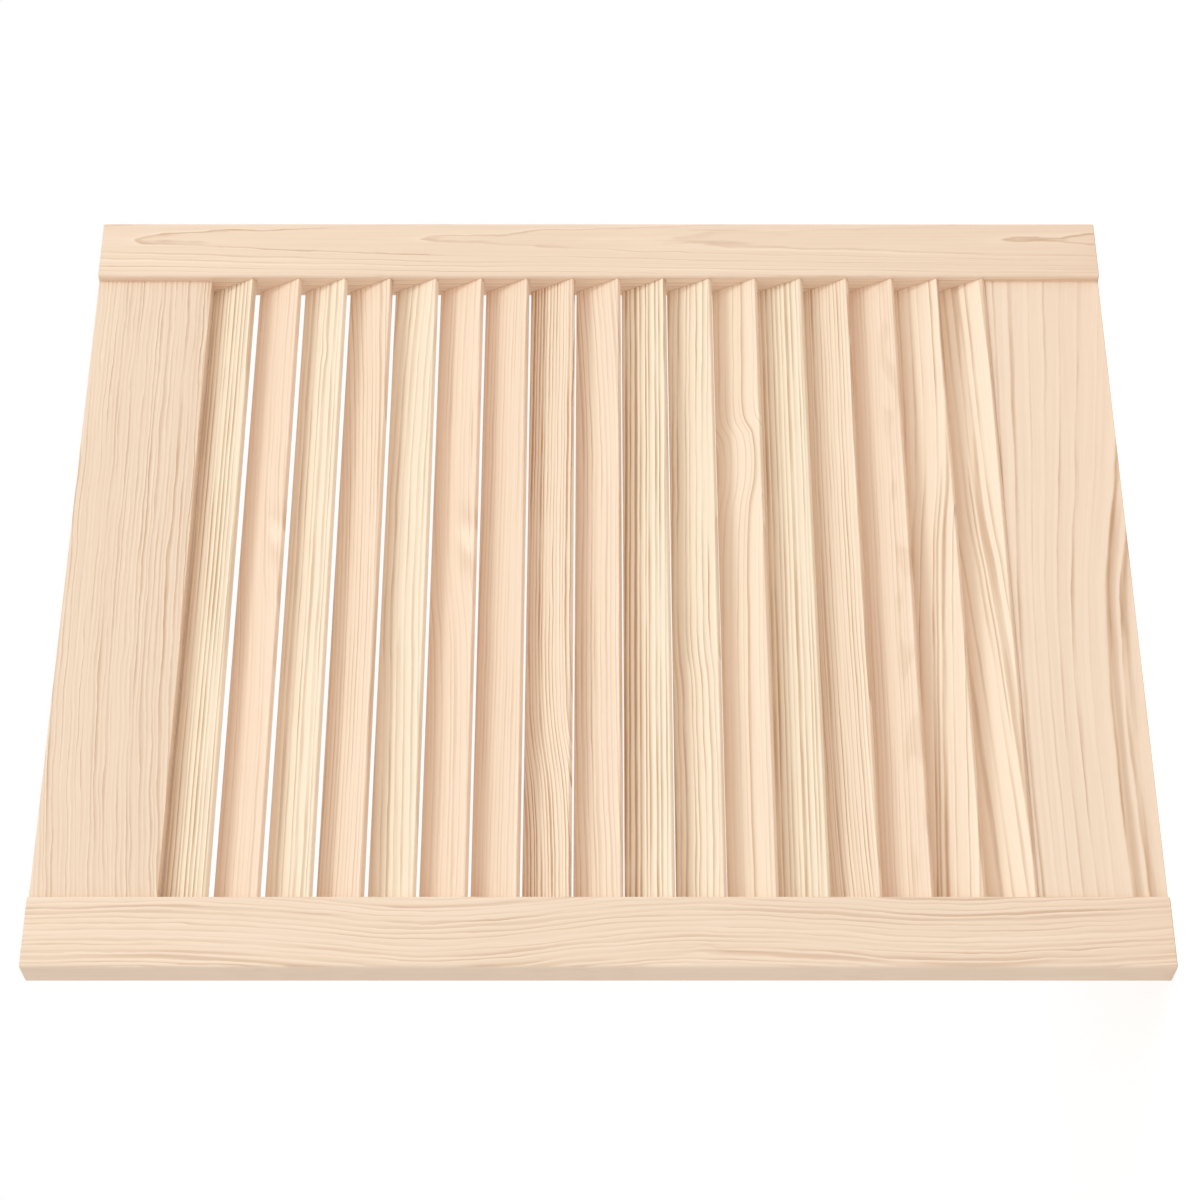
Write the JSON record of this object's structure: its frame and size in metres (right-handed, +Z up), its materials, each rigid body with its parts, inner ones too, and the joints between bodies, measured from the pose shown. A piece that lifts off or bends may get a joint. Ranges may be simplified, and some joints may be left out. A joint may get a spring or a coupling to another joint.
{
  "type": "louvred cabinet door",
  "caption": "Pine louvred cabinet door: two stiles and two thinner rails frame a row of fixed slanted slats that hide a cupboard's inside and let air through.",
  "frame": {"origin": "middle of the bottom edge, half way through the thickness", "axes": "as the door hangs: +X to the right across the width seen from the front, -Y out of the front face, +Z up the height"},
  "size_m": [0.494, 0.021, 0.615],
  "materials": {
    "pine_frame": "sanded, unfinished",
    "pine_slat": "planed, unfinished",
    "dowel_wood": "raw"
  },
  "bodies": {
    "root": {"left_stile": "pine_frame", "right_stile": "pine_frame", "top_rail": "pine_frame", "bottom_rail": "pine_frame", "slat_01": "pine_slat", "slat_02": "pine_slat", "slat_03": "pine_slat", "slat_04": "pine_slat", "slat_05": "pine_slat", "slat_06": "pine_slat", "slat_07": "pine_slat", "slat_08": "pine_slat", "slat_09": "pine_slat", "slat_10": "pine_slat", "slat_11": "pine_slat", "slat_12": "pine_slat", "slat_13": "pine_slat", "slat_14": "pine_slat", "slat_15": "pine_slat", "slat_16": "pine_slat", "slat_17": "pine_slat", "dowel_top_left_upper": "dowel_wood", "dowel_top_left_lower": "dowel_wood", "dowel_top_right_upper": "dowel_wood", "dowel_top_right_lower": "dowel_wood", "dowel_bottom_left_upper": "dowel_wood", "dowel_bottom_left_lower": "dowel_wood", "dowel_bottom_right_upper": "dowel_wood", "dowel_bottom_right_lower": "dowel_wood"}
  },
  "joints": []
}
